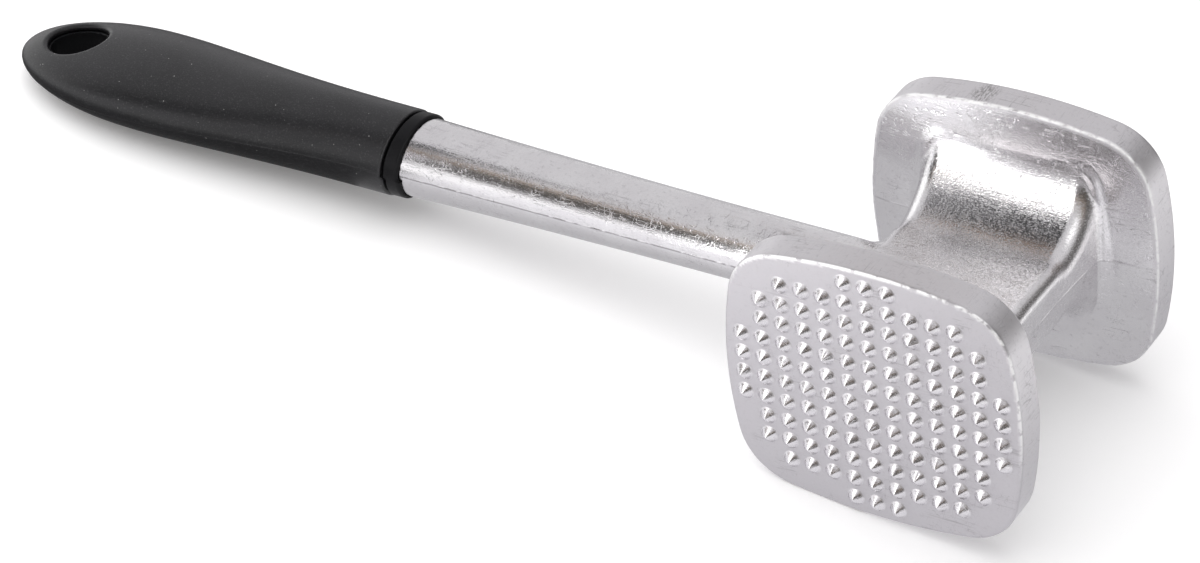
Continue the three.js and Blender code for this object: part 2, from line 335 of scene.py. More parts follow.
def square_x(x, y, z):
    """Position along the shaft from the handle's slanted front, its small step included."""
    step = STEP * fraction(-z, 1.0, 1.2) * fraction(-y, 0, 4)
    return slanted(x, y, z) - step


def cover_field(x, y, z):
    """The soft cover: a shell with a low mould seam, round lips at the front and round the hang hole."""
    outside = grip_distance(x, y, z)
    seam = SEAM_HEIGHT * np.exp(-(((z - SEAM_Z) / 0.2) ** 2)) * fraction(-y, 2, 6)
    hole = -ellipse(x - HOLE_X, y, HOLE_HALF_LENGTH + HOLE_LIP, HOLE_HALF_WIDTH + HOLE_LIP)
    body = round_and(outside - seam, hole, HOLE_ROUNDING)
    body = round_and(body, square_x(x, y, z) - GRIP_FRONT, FRONT_ROUNDING)
    return np.maximum(body, -(outside + SKIN - CLEARANCE))


def core_field(x, y, z):
    """The handle's core: its front ring and its body, bored for the tang, the shaft and the hang hole."""
    along = square_x(x, y, z)
    ring = ellipse(y, z, COLLAR_HALF_WIDTH, COLLAR_HALF_HEIGHT)
    flange = round_and(ring, along - (SHAFT_END + COLLAR_OVERLAP), 0.8)
    flange = round_and(flange, COLLAR_REAR - along, 0.35)
    inner = np.maximum(grip_distance(x, y, z) + SKIN, along - (COLLAR_REAR + 1))
    core = np.minimum(flange, inner)
    hole = -ellipse(x - HOLE_X, y, HOLE_HALF_LENGTH, HOLE_HALF_WIDTH)
    core = np.maximum(core, hole)
    core = np.maximum(core, -(tang_field(x, y, z) - CLEARANCE))
    return np.maximum(core, -(shaft_field(x, y, z) - SHAFT_CLEARANCE))


# ---- surface nets ----
CUBE = [(i, j, k) for i in (0, 1) for j in (0, 1) for k in (0, 1)]
CUBE_EDGES = [(a, b) for a in CUBE for b in CUBE if a < b and sum(abs(p - q) for p, q in zip(a, b)) == 1]
OUTSIDE = 9.0  # the value of a field far from its shape
MOVES = 4
MOST_MOVE = 0.35


def lines(*spans):
    """Grid lines: each span is (start, end, spacing)."""
    parts = [np.linspace(a, b, max(1, round((b - a) / s)), endpoint=False) for a, b, s in spans]
    return np.append(np.concatenate(parts), spans[-1][1])


def surface_net(values, axes):
    """One point in each cell that the surface crosses, and a quad round each grid edge that it crosses."""
    inside = values < 0
    shape = tuple(n - 1 for n in values.shape)
    count = np.zeros(shape, np.int8)
    for i, j, k in CUBE:
        count += inside[i:shape[0] + i, j:shape[1] + j, k:shape[2] + k]
    active = (count > 0) & (count < 8)
    cells = np.argwhere(active)
    number = np.full(shape, -1, np.int64)
    number[active] = np.arange(len(cells))
    total = np.zeros((len(cells), 3))
    crossings = np.zeros(len(cells))
    for a, b in CUBE_EDGES:
        at_a = cells + a
        at_b = cells + b
        value_a = values[tuple(at_a.T)]
        value_b = values[tuple(at_b.T)]
        crossed = (value_a < 0) != (value_b < 0)
        share = np.where(crossed, value_a / np.where(crossed, value_a - value_b, 1), 0)[:, None]
        place_a = np.stack([axes[d][at_a[:, d]] for d in range(3)], 1)
        place_b = np.stack([axes[d][at_b[:, d]] for d in range(3)], 1)
        total += (place_a * (1 - share) + place_b * share) * crossed[:, None]
        crossings += crossed
    points = total / crossings[:, None]
    quads = []
    for d in range(3):
        e = (d + 1) % 3
        f = (d + 2) % 3
        low = [slice(None)] * 3
        high = [slice(None)] * 3
        low[d] = slice(0, -1)
        high[d] = slice(1, None)
        for axis in (e, f):
            low[axis] = high[axis] = slice(1, -1)
        start = inside[tuple(low)]
        changed = start != inside[tuple(high)]
        at = np.argwhere(changed)
        outward = start[changed]
        at[:, e] += 1
        at[:, f] += 1
        back_e = np.zeros(3, int)
        back_f = np.zeros(3, int)
        back_e[e] = 1
        back_f[f] = 1
        ring = [at - back_e - back_f, at - back_f, at, at - back_e]
        quad = np.stack([number[tuple(r.T)] for r in ring], 1)
        quad[~outward] = quad[~outward][:, ::-1]
        quads.append(quad)
    return points, np.concatenate(quads)


def gradient(field, points, step=0.03):
    """The slope of a field at points, by central differences."""
    slopes = []
    for d in range(3):
        shift = np.zeros(3)
        shift[d] = step
        ahead = field(*(points + shift).T)
        behind = field(*(points - shift).T)
        slopes.append((ahead - behind) / (2 * step))
    return np.stack(slopes, 1)


def mesh_field(field, axes, reach=None):
    """Points, quads and normals of a field's surface. The field is worked out on a grid, or only in the
    boxes of reach. Then the points are moved onto the surface, by at most MOST_MOVE at a time."""
    if reach is None:
        values = np.broadcast_to(field(*np.ix_(*axes)), [len(a) for a in axes])
    else:
        values = np.full([len(a) for a in axes], OUTSIDE)
        for box in reach:
            keep = [np.flatnonzero((a >= lo) & (a <= hi)) for a, (lo, hi) in zip(axes, box)]
            near = [a[chosen] for a, chosen in zip(axes, keep)]
            values[np.ix_(*keep)] = field(*np.ix_(*near))
    points, quads = surface_net(values, axes)
    for _ in range(MOVES):
        slope = gradient(field, points)
        size = np.maximum((slope**2).sum(1), 0.05)
        move = slope * (field(*points.T) / size)[:, None]
        length = np.linalg.norm(move, axis=1, keepdims=True)
        points = points - move * np.minimum(1, MOST_MOVE / np.maximum(length, 1e-9))
    slope = gradient(field, points)
    normals = slope / np.maximum(np.linalg.norm(slope, axis=1, keepdims=True), 1e-9)
    return points, quads, normals


# ---- the striking faces: the flat part of a face is cut out and filled again around its studs ----
FLAT_INSET = 0.72  # a face is flat from this far inside its outline


class Shape:
    """A mesh being put together: its points, with a normal for each and how far it is part of a stud,
    and its faces, each with a flag that says whether it is shaded flat."""

    def __init__(self, points, quads, normals):
        self.points = [points]
        self.normals = [normals]
        self.stud = [np.zeros(len(points))]
        self.faces = [tuple(q) for q in quads.tolist()]
        self.flat = [False] * len(self.faces)
        self.size = len(points)

    def add(self, points, normals, stud):
        """Adds points and gives the number of the first."""
        first = self.size
        self.points.append(points)
        self.normals.append(normals)
        self.stud.append(np.broadcast_to(np.asarray(stud, float), len(points)))
        self.size += len(points)
        return first


def refill_face(shape, side, rings):
    """Replaces the flat middle of the face at y = side * FACE by triangles that leave the rings open.
    Each ring is (first point, count) of a closed loop that is already in the shape."""
    points = np.concatenate(shape.points)
    inside = np.abs(points[:, 1] - side * FACE) < 0.03
    inside &= bulged_rectangle(points[:, 0], points[:, 2], **PLATE) < -FLAT_INSET
    kept = []
    flat = []
    edges = {}
    for face, is_flat in zip(shape.faces, shape.flat):
        if all(inside[v] for v in face):
            for a, b in zip(face, face[1:] + face[:1]):
                if edges.pop((b, a), None) is None:
                    edges[(a, b)] = True
        else:
            kept.append(face)
            flat.append(is_flat)
    # the edges left over run once round the hole
    used = sorted({v for edge in edges for v in edge})
    place = {v: n for n, v in enumerate(used)}
    pins = [(place[a], place[b]) for a, b in edges]
    for first, count in rings:
        base = len(used)
        used.extend(range(first, first + count))
        pins.extend((base + n, base + (n + 1) % count) for n in range(count))
    flat_points = points[used][:, [0, 2]]
    result = delaunay_2d_cdt([Vector(p) for p in flat_points], pins, [], 0, 1e-6)
    corners = np.array([v[:] for v in result[0]])
    triangles = np.array(result[2])
    source = [origin[0] for origin in result[3]]
    middles = corners[triangles].mean(1)
    keep = inside_loops(middles, [(flat_points[a], flat_points[b]) for a, b in pins])
    for triangle in triangles[keep]:
        a, b, c = (corners[v] for v in triangle)
        turn = (b[0] - a[0]) * (c[1] - a[1]) - (b[1] - a[1]) * (c[0] - a[0])
        face = [used[source[v]] for v in triangle]
        if (turn > 0) == (side > 0):
            face.reverse()
        kept.append(tuple(face))
        flat.append(False)
    shape.faces = kept
    shape.flat = flat


def inside_loops(points, segments):
    """Which points lie inside an odd number of the closed loops made by the segments."""
    odd = np.zeros(len(points), bool)
    for (ax, az), (bx, bz) in segments:
        spans = (az > points[:, 1]) != (bz > points[:, 1])
        if bz != az:
            odd ^= spans & (points[:, 0] < ax + (points[:, 1] - az) * (bx - ax) / (bz - az))
    return odd


def join_rings(shape, first, levels, sides, flat, outward):
    """Faces between rings of points that follow one another, turned to face out."""
    for level in range(levels - 1):
        for n in range(sides):
            a = first + level * sides + n
            b = first + level * sides + (n + 1) % sides
            face = (a, b, b + sides, a + sides)
            shape.faces.append(face if outward else (b, a, a + sides, b + sides))
            shape.flat.append(flat)


def add_studs(shape):
    """The fine studs of the near face; gives the ring of points at the foot of each."""
    rings = []
    turn = np.arange(STUD_SIDES) / STUD_SIDES * 2 * math.pi
    profile = np.array(STUD_PROFILE)
    slope = np.gradient(profile[:, 1], profile[:, 0])
    shine = np.append(np.repeat(fraction(profile[:, 1], 0.0, 0.3), STUD_SIDES), 1)
    for row, count in enumerate(STUD_ROWS):
        z = ((len(STUD_ROWS) - 1) / 2 - row) * STUD_PITCH
        for column in range(count):
            x = (column - (count - 1) / 2) * STUD_PITCH
            lean = rng.normal(0, STUD_LEAN, 2)
            tall = 1 + rng.normal(0, STUD_UNEVENNESS)
            flutes = sum(rng.normal(0, STUD_UNEVENNESS) * np.cos(n * turn + rng.uniform(0, 6.28))
                         for n in FLUTE_COUNTS)
            points = []
            normals = []
            for (radius, height), rise in zip(profile, slope):
                share = min(1, height / 0.6)
                reach = radius * (1 + share * flutes)
                cx = x + lean[0] * height / STUD_HEIGHT
                cz = z + lean[1] * height / STUD_HEIGHT
                level_y = np.full(STUD_SIDES, -FACE - height * tall)
                points.append(np.stack([cx + reach * np.cos(turn), level_y, cz + reach * np.sin(turn)], 1))
                around = np.concatenate([reach[-1:], reach, reach[:1]])
                along = np.gradient(around)[1:-1] / (turn[1] * reach)
                out = np.stack([np.cos(turn) + along * np.sin(turn), np.zeros(STUD_SIDES),
                                np.sin(turn) - along * np.cos(turn)], 1)
                normal = out * -rise + np.array([0, -1, 0])
                normals.append(normal / np.linalg.norm(normal, axis=1, keepdims=True))
            points.append(np.array([[x + lean[0], -FACE - STUD_HEIGHT * tall, z + lean[1]]]))
            normals.append(np.array([[0, -1.0, 0]]))
            normals[0][:] = (0, -1, 0)
            first = shape.add(np.concatenate(points), np.concatenate(normals), shine)
            rings.append((first, STUD_SIDES))
            join_rings(shape, first, len(profile), STUD_SIDES, False, True)
            last = first + (len(profile) - 1) * STUD_SIDES
            for n in range(STUD_SIDES):
                shape.faces.append((last + n, last + (n + 1) % STUD_SIDES, last + STUD_SIDES))
                shape.flat.append(False)
    return rings


def tooth_ring(half):
    """Eight corners of a square whose own corners are cut off, round the origin."""
    bevel = min(0.8 * half, TOOTH_BEVEL) / half
    short = half * (1 - bevel)
    corners = []
    for sx, sz in ((1, 1), (-1, 1), (-1, -1), (1, -1)):
        pair = [(sx * half, sz * short), (sx * short, sz * half)]
        corners.extend(pair if sx == sz else reversed(pair))
    return np.array(corners)


def add_teeth(shape):
    """The coarse teeth of the far face; gives the ring of points at the foot of each."""
    rings = []
    sides = 8
    for column in range(TOOTH_COLUMNS):
        for row in range(TOOTH_ROWS):
            x = (column - (TOOTH_COLUMNS - 1) / 2) * TOOTH_PITCH
            z = (row - (TOOTH_ROWS - 1) / 2) * TOOTH_PITCH
            points = []
            for half, height in TOOTH_PROFILE:
                ring = tooth_ring(half)
                points.append(np.stack([x + ring[:, 0], np.full(sides, FACE + height), z + ring[:, 1]], 1))
            normals = np.tile([0, 1.0, 0], (sides * len(TOOTH_PROFILE), 1))
            first = shape.add(np.concatenate(points), normals, 0)
            rings.append((first, sides))
            join_rings(shape, first, len(TOOTH_PROFILE), sides, True, False)
            last = first + (len(TOOTH_PROFILE) - 1) * sides
            shape.faces.append(tuple(last + n for n in reversed(range(sides))))
            shape.flat.append(True)
    return rings


# ---- from shapes to Blender objects ----
def make_object(name, shape, layers):
    """The Blender object of a shape, with its place in the shaft's frame and its layers as attributes."""
    points = np.concatenate(shape.points)
    turn = np.array(LAY.to_3x3())
    normals = np.concatenate(shape.normals) @ turn.T
    placed = points * MM @ turn.T + np.array(LAY.translation)
    mesh = bpy.data.meshes.new(name)
    mesh.from_pydata(placed.tolist(), [], shape.faces)
    place = mesh.attributes.new("shaft_mm", "FLOAT_VECTOR", "POINT")
    place.data.foreach_set("vector", points.astype(np.float32).ravel())
    for layer, values in layers.items():
        attribute = mesh.attributes.new(layer, "FLOAT", "POINT")
        attribute.data.foreach_set("value", values.astype(np.float32))
    mesh.polygons.foreach_set("use_smooth", [True] * len(mesh.polygons))
    corner_point = np.zeros(len(mesh.loops), np.int32)
    mesh.loops.foreach_get("vertex_index", corner_point)
    corner_normal = normals[corner_point]
    face_normal = np.zeros(len(mesh.polygons) * 3)
    mesh.polygons.foreach_get("normal", face_normal)
    face_size = np.zeros(len(mesh.polygons), np.int32)
    mesh.polygons.foreach_get("loop_total", face_size)
    face_of_corner = np.repeat(np.arange(len(mesh.polygons)), face_size)
    is_flat = np.array(shape.flat)[face_of_corner]
    corner_normal[is_flat] = face_normal.reshape(-1, 3)[face_of_corner[is_flat]]
    mesh.normals_split_custom_set(corner_normal.tolist())
    obj = bpy.data.objects.new(name, mesh)
    bpy.context.scene.collection.objects.link(obj)
    return obj


def drop_loose(shape):
    """Leaves out the points that no face uses."""
    points = np.concatenate(shape.points)
    used = np.zeros(len(points), bool)
    for face in shape.faces:
        used[list(face)] = True
    new = np.cumsum(used) - 1
    shape.faces = [tuple(int(new[v]) for v in face) for face in shape.faces]
    shape.points = [points[used]]
    shape.normals = [np.concatenate(shape.normals)[used]]
    shape.stud = [np.concatenate(shape.stud)[used]]


def build_casting():
    """The casting, with its studs and teeth, and a layer for each kind of surface."""
    axes = [
        lines((-190.5, -121.5, 2.2), (-121.5, -118, 0.35), (-118, -33, 1.2), (-33, -14, 0.6),
              (-14, 14, 0.75), (14, 32, 0.6)),
        lines((-34, -31.4, 0.26), (-31.4, -26, 0.9), (-26, -22.5, 0.25), (-22.5, -8, 0.55), (-8, 8, 0.5),
              (8, 22.5, 0.55), (22.5, 26, 0.25), (26, 31.4, 0.9), (31.4, 34, 0.26)),
        lines((-29.5, -10, 0.6), (-10, -1, 0.45), (-1, -0.4, 0.2), (-0.4, 0.4, 0.1), (0.4, 1, 0.2),
              (1, 10, 0.45), (10, 29.5, 0.6)),
    ]
    head_box = ((-33, 32), (-34, 34), (-30, 30))
    rod_box = ((-191, -32.9), (-10, 10), (-11, 11))
    shape = Shape(*mesh_field(casting_field, axes, (head_box, rod_box)))
    studs = add_studs(shape)
    refill_face(shape, -1, studs)
    teeth = add_teeth(shape)
    refill_face(shape, 1, teeth)
    drop_loose(shape)
    x, y, z = shape.points[0].T
    q = np.abs(y)
    outline = bulged_rectangle(x, z, **PLATE)
    face = fraction(q, FACE - 0.9, FACE - 0.2)
    rim = fraction(outline, -1.2, -0.4) * fraction(q, 24.2, 25.2) * (1 - face)
    # burred edges, their colour a painted highlight: the studded face's upper right, and the upper part of
    # the far inner face
    front_edge = fraction(np.hypot(outline + 0.16, q - FACE + 0.16), 0.4, 0.12) * (y < 0)
    front_edge *= fraction(0.4 * x + z, 2, 14)
    inner_rim = INNER_FACE + EDGE_THINNING + INNER_DRAFT * np.abs(z)
    inner_edge = fraction(np.hypot(outline + 0.1, q - inner_rim - 0.1), 0.42, 0.12) * (y > 0)
    inner_edge *= fraction(z, -40, 0)
    layers = {"face": face, "rim": rim, "stud": shape.stud[0], "edge": np.maximum(front_edge, inner_edge)}
    return make_object("mallet_casting", shape, layers)


def build_handle():
    """The soft cover and the core under it."""
    across = lines((-16, 16, 0.45))
    upright = lines((-10.5, -0.6, 0.45), (-0.6, 0.6, 0.12), (0.6, 12, 0.45))
    along = lines((-224.5, -222, 0.3), (-222, -216, 0.5), (-216, -200, 0.42), (-200, -129, 0.8),
                  (-129, -121, 0.22))
    cover = make_object("soft_cover", Shape(*mesh_field(cover_field, [along, across, upright])), {})
    along = lines((-224.5, -200, 0.45), (-200, -129, 1.0), (-129, -126, 0.5), (-126, -116.5, 0.2))
    core = make_object("handle_inner_core", Shape(*mesh_field(core_field, [along, across, upright])), {})
    return cover, core


casting = build_casting()
cover, core = build_handle()


# ---- materials ----
class Graph:
    """Short calls for building a node tree."""

    def __init__(self, tree):
        self.tree = tree
        tree.nodes.clear()

    def node(self, kind, inputs=None, **settings):
        made = self.tree.nodes.new("ShaderNode" + kind)
        for key, value in settings.items():
            setattr(made, key, value)
        for key, value in (inputs or {}).items():
            if isinstance(value, bpy.types.NodeSocket):
                self.tree.links.new(value, made.inputs[key])
            else:
                made.inputs[key].default_value = value
        return made

    def math(self, operation, a, b=0.0, c=0.0, clamp=False):
        made = self.node("Math", {0: a, 1: b, 2: c}, operation=operation, use_clamp=clamp)
        return made.outputs[0]

    def times(self, a, b):
        return self.math("MULTIPLY", a, b)

    def scaled(self, vector, scale, turn=(0, 0, 0)):
        made = self.node("Mapping", {"Vector": vector, "Scale": scale, "Rotation": turn})
        return made.outputs[0]

    def noise(self, vector, scale, detail=3.0, roughness=0.55, distortion=0.0):
        made = self.node("TexNoise", {"Vector": vector, "Scale": scale, "Detail": detail,
                                      "Roughness": roughness, "Distortion": distortion})
        return made.outputs["Fac"]

    def span(self, value, low, high, to_low=0.0, to_high=1.0):
        """Goes smoothly from to_low to to_high as the value goes from low to high."""
        made = self.node("MapRange", {"Value": value, "From Min": low, "From Max": high,
                                      "To Min": to_low, "To Max": to_high}, interpolation_type="SMOOTHSTEP")
        return made.outputs[0]

    def mix(self, share, a, b):
        made = self.node("Mix", {0: share, 6: a, 7: b}, data_type="RGBA")
        return made.outputs[2]

    def ridge(self, value, width):
        """A thin line where a noise crosses its middle value."""
        off = self.math("ABSOLUTE", self.math("SUBTRACT", value, 0.5))
        return self.span(off, 0.0, width, 1.0, 0.0)

    def attribute(self, name):
        return self.node("Attribute", attribute_name=name).outputs["Fac"]

    def place(self):
        """The surface's place in the shaft's frame, in millimetres."""
        return self.node("Attribute", attribute_name="shaft_mm").outputs["Vector"]


def new_material(name):
    """A material with a plain shader, and the graph to build on."""
    material = bpy.data.materials.new(name)
    material.use_nodes = True
    graph = Graph(material.node_tree)
    shader = graph.node("BsdfPrincipled")
    graph.node("OutputMaterial", {"Surface": shader.outputs[0]})
    return material, graph, shader


def scratches(graph, mm, turn, scale, width):
    """Thin wandering lines: the places where a stretched noise crosses its middle value, broken up."""
    wave = graph.noise(graph.scaled(mm, scale, turn), 1.0, 1.0)
    line = graph.ridge(wave, width)
    gaps = graph.span(graph.noise(mm, 0.16, 2.0), 0.5, 0.62)
    return graph.times(line, gaps)


# where the far rim is scuffed, in the shaft's frame, and how fast the scuff fades along each axis
SCUFF = (-7.0, 29.0, 28.0)
SCUFF_FADE = (0.28, 0.2, 0.2)

# colours of the aluminium
CAST_LOW = (0.80, 0.785, 0.80, 1)
CAST_HIGH = (0.85, 0.84, 0.85, 1)
RIM_TONE = (0.79, 0.775, 0.795, 1)
FACE_TONE = (0.57, 0.555, 0.575, 1)
STUD_TONE = (0.72, 0.705, 0.725, 1)
SPECKLE_TONE = (0.45, 0.43, 0.45, 1)
HAIR_TONE = (0.36, 0.35, 0.36, 1)
SCUFF_TONE = (0.26, 0.25, 0.25, 1)
SCRATCH_TONE = (0.35, 0.34, 0.35, 1)
PIT_TONE = (0.55, 0.54, 0.55, 1)
PARTING_TONE = (0.2, 0.19, 0.2, 1)
# near white: the painted highlight on the burrs along the edges
BURR_HIGHLIGHT_TONE = (0.97, 0.97, 0.97, 1)


def aluminium_marks(graph, mm):
    """Where each kind of surface, each kind of wear and the painted highlight on the burrs is, from 0 to 1.
    """
    parts = graph.node("SeparateXYZ", {0: mm})
    along = parts.outputs["X"]
    off_middle = graph.math("ABSOLUTE", parts.outputs["Y"])
    off_parting = graph.math("ABSOLUTE", parts.outputs["Z"])
    marks = {name: graph.attribute(name) for name in ("face", "rim", "stud", "edge")}
    marks["skin"] = graph.math("SUBTRACT", 1.0, marks["stud"])

    long_lines = scratches(graph, mm, (0, 0, 0), (0.03, 0.9, 0.9), 0.02)
    cross_lines = scratches(graph, mm, (0.4, 0.9, 0.7), (0.9, 0.06, 0.5), 0.016)
    marks["scratch"] = graph.math("MAXIMUM", long_lines, cross_lines)

    parting = graph.times(graph.span(off_parting, 0.1, 0.26, 1.0, 0.0),
                          graph.span(graph.noise(mm, 0.3, 3.0), 0.4, 0.52))
    off_plate = graph.math("SUBTRACT", 1.0, graph.math("MAXIMUM", marks["rim"], marks["face"]))
    parting = graph.times(parting, off_plate)
    marks["parting"] = graph.times(parting, graph.span(along, -40.0, -20.0, 1.0, 0.25))

    # the waist kept most of the casting's pitted skin, and the shaft was polished
    marks["on_head"] = graph.times(graph.span(along, -22.0, -10.0, 0.15, 0.5),
                                   graph.span(off_middle, 20.5, 24.0, 1.0, 0.3))
    grit = graph.noise(graph.scaled(mm, (2.2, 5.5, 5.5)), 1.0, 1.0, 0.6)
    pits = graph.span(grit, 0.52, 0.7)
    marks["pits"] = graph.times(pits, marks["on_head"])
    marks["sparkle"] = graph.math("MULTIPLY_ADD", pits, 0.8, grit)

    # hairline marks across the rims, from the belt they were dressed on
    hair = graph.noise(graph.scaled(mm, (4.5, 0.22, 4.5)), 1.0, 2.0, 0.7)
    marks["hair"] = graph.times(graph.span(hair, 0.6, 0.8), marks["rim"])

    # one scuffed patch on the far plate's upper rim
    away = graph.node("VectorMath", {0: mm, 1: SCUFF}, operation="SUBTRACT").outputs[0]
    away = graph.node("VectorMath", {0: away, 1: SCUFF_FADE}, operation="MULTIPLY").outputs[0]
    near = graph.node("VectorMath", {0: away}, operation="LENGTH").outputs["Value"]
    rubbed = graph.noise(graph.scaled(mm, (2.6, 0.7, 1.6), (0, 0, 0.5)), 1.0, 3.0, 0.75)
    marks["scuff"] = graph.times(graph.span(rubbed, 0.46, 0.6), graph.span(near, 0.35, 1.0, 1.0, 0.0))

    # burrs along the edges, broken up, painted near white: a painted highlight
    marks["burr"] = graph.times(graph.span(graph.noise(mm, 0.5, 3.0, 0.6), 0.36, 0.5), marks["edge"])

    nicks = graph.noise(graph.scaled(mm, (0.5, 1.5, 0.45), (0.5, 0.3, 0.6)), 1.0, 2.0, 0.6, 0.6)
    nicks = graph.times(graph.ridge(nicks, 0.05), graph.span(graph.noise(mm, 0.7, 2.0), 0.54, 0.62))
    marks["nicks"] = graph.times(nicks, marks["skin"])
    return marks


def aluminium_tone(graph, mm, marks):
    """The metal's colour: one for each kind of surface, with the wear laid over it, then a painted
    highlight on the burrs.
    """
    blotch = graph.noise(mm, 0.12, 3.0, 0.5)
    speckle = graph.span(graph.noise(mm, 1.1, 4.0, 0.7), 0.54, 0.72)
    tone = graph.mix(graph.span(blotch, 0.35, 0.7), CAST_LOW, CAST_HIGH)
    tone = graph.mix(marks["rim"], tone, RIM_TONE)
    tone = graph.mix(graph.times(marks["face"], marks["skin"]), tone, FACE_TONE)
    tone = graph.mix(marks["stud"], tone, STUD_TONE)
    for mark, share, colour in (
        (speckle, 0.3, SPECKLE_TONE),
        (marks["hair"], 0.42, HAIR_TONE),
        (marks["scuff"], 0.7, SCUFF_TONE),
        (marks["scratch"], 0.35, SCRATCH_TONE),
        (marks["pits"], 0.5, PIT_TONE),
        (marks["parting"], 0.55, PARTING_TONE),
    ):
        tone = graph.mix(graph.times(mark, share), tone, colour)
    return graph.mix(marks["burr"], tone, BURR_HIGHLIGHT_TONE)


def aluminium_roughness(graph, grain, marks):
    """Satin on the faces and rims, bright elsewhere."""
    satin = graph.times(graph.math("MAXIMUM", marks["face"], graph.times(marks["rim"], 0.8)), marks["skin"])
    rough = graph.math("MULTIPLY_ADD", satin, 0.34, 0.17)
    rough = graph.math("MULTIPLY_ADD", marks["stud"], 0.08, rough)
    rough = graph.math("MULTIPLY_ADD", marks["pits"], 0.24, rough)
    rough = graph.math("ADD", rough, graph.math("MULTIPLY_ADD", grain, 0.12, -0.05))
    return graph.math("ADD", rough, graph.times(marks["scratch"], 0.15), clamp=True)


def aluminium_height(graph, mm, grain, marks):
    """The fine relief: drawn streaks, grain and pits, with scratches, nicks and the scuff cut into it."""
    streak = graph.noise(graph.scaled(mm, (0.05, 1.7, 1.7)), 1.0, 4.0, 0.6)
    height = graph.math("MULTIPLY_ADD", streak, 0.5, graph.times(grain, 0.25))
    height = graph.math("ADD", graph.times(marks["sparkle"], marks["on_head"]), height)
    height = graph.math("SUBTRACT", height, graph.times(marks["scratch"], 0.6))
    height = graph.math("MULTIPLY_ADD", marks["nicks"], -0.9, height)
    return graph.math("MULTIPLY_ADD", marks["scuff"], -0.8, height)


def finish_material(graph, shader, tone, rough, height, strength, distance):
    """Links a surface's colour, roughness and fine relief to its shader."""
    bump = graph.node("Bump", {"Height": height, "Strength": strength, "Distance": distance})
    graph.tree.links.new(tone, shader.inputs["Base Color"])
    graph.tree.links.new(rough, shader.inputs["Roughness"])
    graph.tree.links.new(bump.outputs[0], shader.inputs["Normal"])


def aluminium():
    material, graph, shader = new_material("cast_aluminium_looks")
    mm = graph.place()
    marks = aluminium_marks(graph, mm)
    grain = graph.noise(mm, 2.6, 3.0, 0.6)
    finish_material(graph, shader, aluminium_tone(graph, mm, marks),
                    aluminium_roughness(graph, grain, marks),
                    aluminium_height(graph, mm, grain, marks), 0.16, 0.0003)
    # the painted highlight on the burrs is left nearly without a metal's mirror, so that it shows bright
    # from every side
    metal = graph.math("MULTIPLY_ADD", marks["burr"], -0.85, 1.0)
    graph.tree.links.new(metal, shader.inputs["Metallic"])
    return material


RUBBER_LOW = (0.005, 0.005, 0.006, 1)
RUBBER_HIGH = (0.008, 0.008, 0.0095, 1)
MIST_TONE = (0.12, 0.12, 0.125, 1)
DUST_TONE = (0.5, 0.49, 0.48, 1)


def soft_rubber():
    material, graph, shader = new_material("soft_rubber_looks")
    mm = graph.place()
    grain = graph.noise(mm, 3.2, 4.0, 0.6)
    cloud = graph.noise(mm, 0.09, 3.0, 0.5)
    mist = graph.span(graph.noise(mm, 3.0, 2.0, 0.7), 0.54, 0.7)
    # dust: the middles of some cells
    speck = graph.node("TexVoronoi", {"Vector": mm, "Scale": 0.75}, feature="F1").outputs["Distance"]
    chosen = graph.span(graph.noise(mm, 0.75, 1.0), 0.56, 0.62)
    dust = graph.times(graph.span(speck, 0.05, 0.13, 1.0, 0.0), chosen)
    tone = graph.mix(graph.span(cloud, 0.3, 0.7), RUBBER_LOW, RUBBER_HIGH)
    tone = graph.mix(graph.times(mist, 0.22), tone, MIST_TONE)
    tone = graph.mix(graph.times(dust, 0.6), tone, DUST_TONE)
    rough = graph.math("MULTIPLY_ADD", grain, 0.14, 0.3)
    finish_material(graph, shader, tone, rough, grain, 0.18, 0.0002)
    shader.inputs["Specular IOR Level"].default_value = 0.55
    return material


PLASTIC_LOW = (0.005, 0.005, 0.006, 1)
PLASTIC_HIGH = (0.009, 0.009, 0.010, 1)


def hard_plastic():
    material, graph, shader = new_material("hard_plastic_looks")
    mm = graph.place()
    grain = graph.noise(mm, 1.6, 3.0, 0.6)
    tone = graph.mix(graph.noise(mm, 0.2, 2.0), PLASTIC_LOW, PLASTIC_HIGH)
    rough = graph.math("MULTIPLY_ADD", grain, 0.16, 0.3)
    finish_material(graph, shader, tone, rough, grain, 0.08, 0.0002)
    shader.inputs["Specular IOR Level"].default_value = 0.14
    return material


for piece, material, node, slot in (
    (casting, aluminium(), "head_and_shaft_casting", "cast_aluminium"),
    (core, hard_plastic(), "handle_core", "hard_black_plastic"),
    (cover, soft_rubber(), "soft_grip_cover", "soft_black_rubber"),
):
    piece.data.materials.append(material)
    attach(piece, "root")
    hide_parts(node)


# ---- the table ----
TABLE_LOW = (0.90, 0.90, 0.90, 1)
TABLE_HIGH = (0.92, 0.92, 0.92, 1)
TABLE_GLOW = 0.16  # light of its own, which keeps the shadows soft
TABLE_REACH = 3.0
TABLE_STEPS = 24


def build_table():
    """The pale table top, at the height of zero."""
    mesh = bpy.data.meshes.new("table")
    ticks = np.linspace(-TABLE_REACH, TABLE_REACH, TABLE_STEPS + 1)
    points = [(x, y, 0.0) for y in ticks for x in ticks]
    row = TABLE_STEPS + 1
    faces = [(j * row + i, j * row + i + 1, (j + 1) * row + i + 1, (j + 1) * row + i)
             for j in range(TABLE_STEPS) for i in range(TABLE_STEPS)]
    mesh.from_pydata(points, [], faces)
    table = bpy.data.objects.new("table", mesh)
    bpy.context.scene.collection.objects.link(table)
    material, graph, shader = new_material("table_looks")
    where = graph.node("TexCoord").outputs["Object"]
    tone = graph.mix(graph.noise(where, 4.0, 2.0), TABLE_LOW, TABLE_HIGH)
    graph.tree.links.new(tone, shader.inputs["Base Color"])
    shader.inputs["Roughness"].default_value = 0.9
    shader.inputs["Specular IOR Level"].default_value = 0.1
    shader.inputs["Emission Color"].default_value = (1.0, 1.0, 1.0, 1)
    shader.inputs["Emission Strength"].default_value = TABLE_GLOW
    mesh.materials.append(material)
    return table


build_table()


